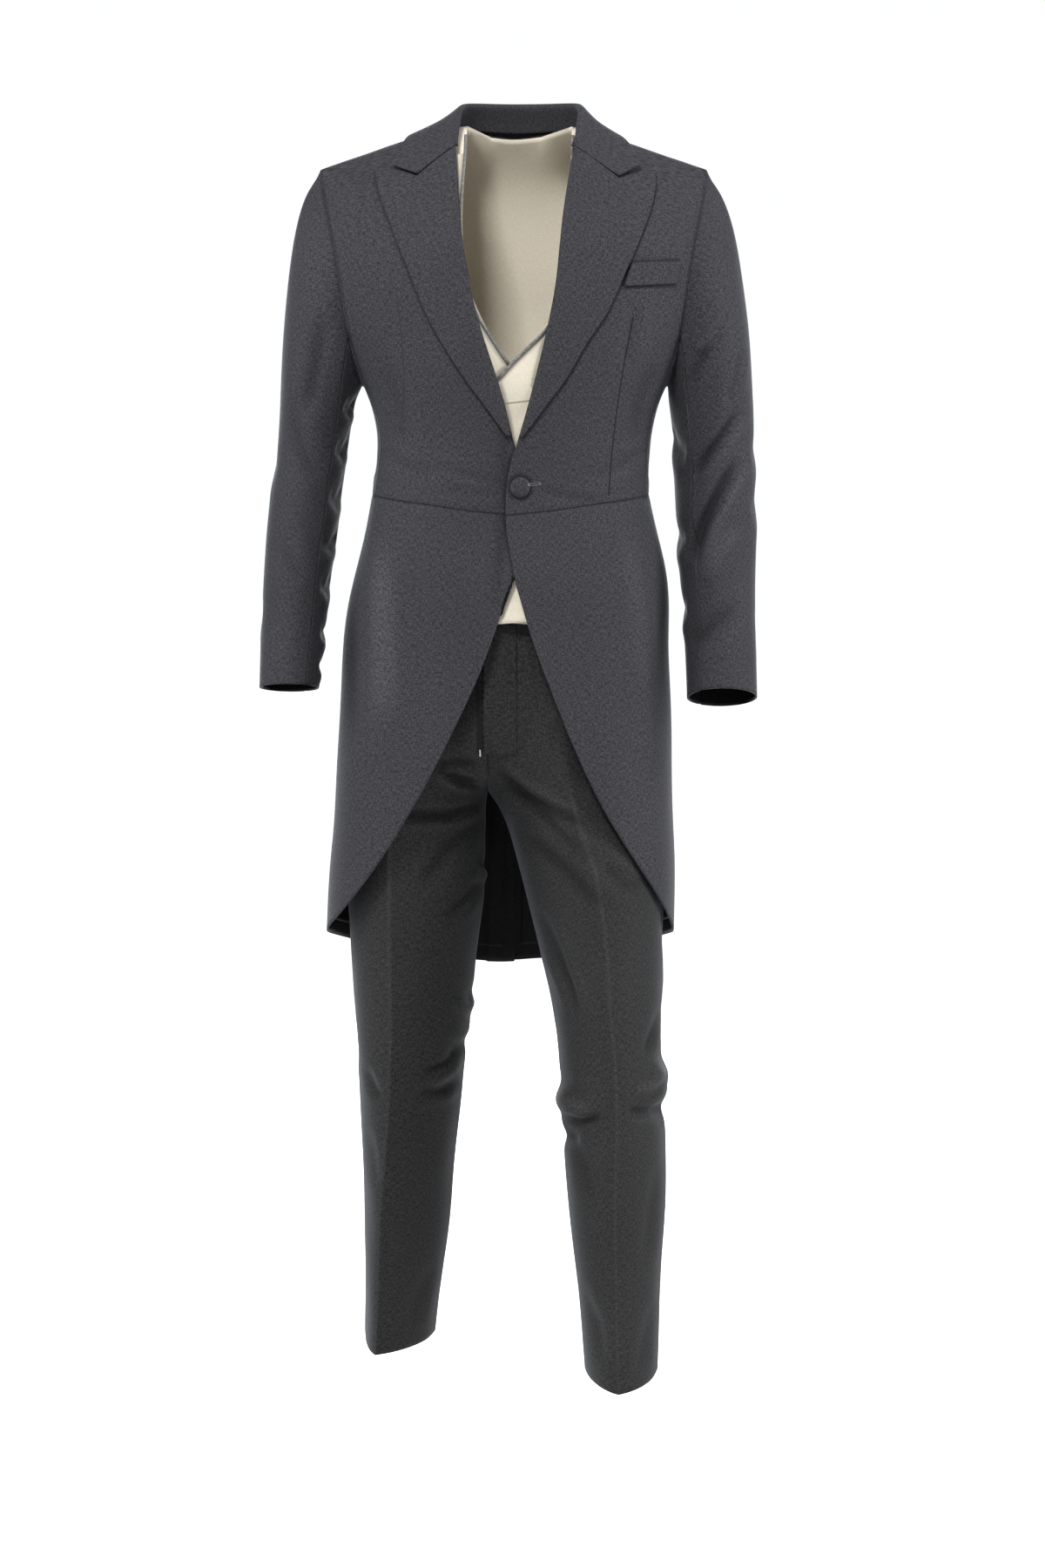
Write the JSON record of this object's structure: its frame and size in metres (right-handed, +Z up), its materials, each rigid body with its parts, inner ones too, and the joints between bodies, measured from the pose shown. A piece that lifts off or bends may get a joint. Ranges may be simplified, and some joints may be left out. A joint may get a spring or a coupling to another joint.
{
  "type": "three-piece morning suit",
  "caption": "Morning suit in its worn shape: cutaway tail coat with peak lapels, crossing cream waistcoat with grey piping, and creased trousers.",
  "frame": {"origin": "base of the neck, midway between the shoulders, where the suit hangs from the wearer's shoulders", "axes": "+X towards the wearer's left, -Y to the front, +Z up"},
  "size_m": [0.5655, 0.3518, 1.4398],
  "materials": {
    "charcoal_worsted": "matte wool, finely mottled",
    "black_lining": "smooth satin lining",
    "cream_cloth": "matte smooth wool",
    "grey_piping": "matte cord piping",
    "trouser_worsted": "matte wool, finely mottled"
  },
  "bodies": {
    "root": {"coat_front_left": "charcoal_worsted", "coat_front_right": "charcoal_worsted", "coat_side_left": "charcoal_worsted", "coat_side_right": "charcoal_worsted", "coat_back_left": "charcoal_worsted", "coat_back_right": "charcoal_worsted", "coat_skirt_left": "charcoal_worsted", "coat_skirt_right": "charcoal_worsted", "coat_lapel_left": "charcoal_worsted", "coat_lapel_right": "charcoal_worsted", "coat_collar": "charcoal_worsted", "sleeve_top_left": "charcoal_worsted", "sleeve_top_right": "charcoal_worsted", "sleeve_under_left": "charcoal_worsted", "sleeve_under_right": "charcoal_worsted", "breast_welt": "charcoal_worsted", "coat_button": "charcoal_worsted", "tail_lining_left": "black_lining", "tail_lining_right": "black_lining", "waistcoat_front_left": "cream_cloth", "waistcoat_front_right": "cream_cloth", "waistcoat_back": "cream_cloth", "waistcoat_piping_left": "grey_piping", "waistcoat_piping_right": "grey_piping", "trouser_front_left": "trouser_worsted", "trouser_front_right": "trouser_worsted", "trouser_back_left": "trouser_worsted", "trouser_back_right": "trouser_worsted", "trouser_waistband": "trouser_worsted", "trouser_fly": "trouser_worsted"}
  },
  "joints": []
}
